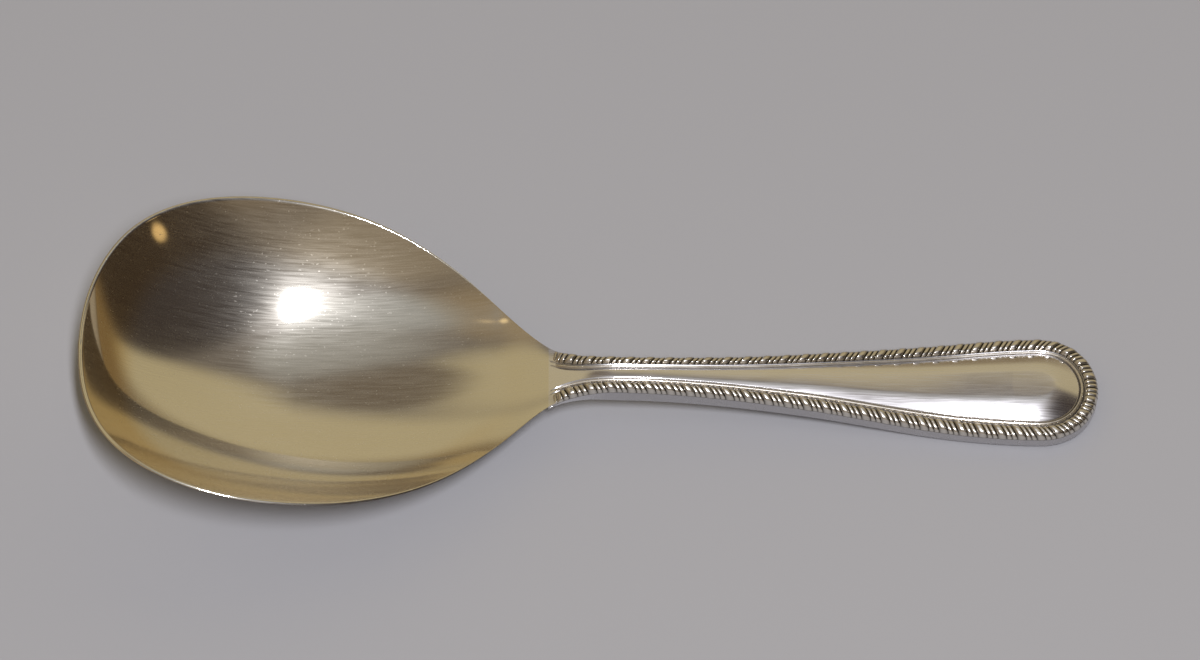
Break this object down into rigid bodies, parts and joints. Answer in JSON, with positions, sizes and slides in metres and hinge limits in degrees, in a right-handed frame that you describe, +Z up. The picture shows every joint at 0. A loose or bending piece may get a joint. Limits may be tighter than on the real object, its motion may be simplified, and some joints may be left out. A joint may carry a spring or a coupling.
{
  "type": "caddy spoon",
  "caption": "Silver caddy spoon with a deep egg-shaped bowl and a short domed handle edged by a gadroon border and a plain reed, for scooping tea leaves.",
  "frame": {"origin": "centre of the spoon's length and width, on the table that it rests on", "axes": "+X along the spoon from the bowl's tip to the handle's end, +Y across it, +Z up from the table"},
  "size_m": [0.096, 0.033, 0.0114],
  "materials": {
    "bowl_silver": "polished sterling silver with fine scratches",
    "handle_silver": "polished sterling silver",
    "border_silver": "polished sterling silver, darkened in the recesses"
  },
  "bodies": {
    "root": {"bowl": "bowl_silver", "handle": "handle_silver", "reed_border": "border_silver", "gadroon_border_left": "border_silver", "gadroon_border_right": "border_silver"}
  },
  "joints": []
}
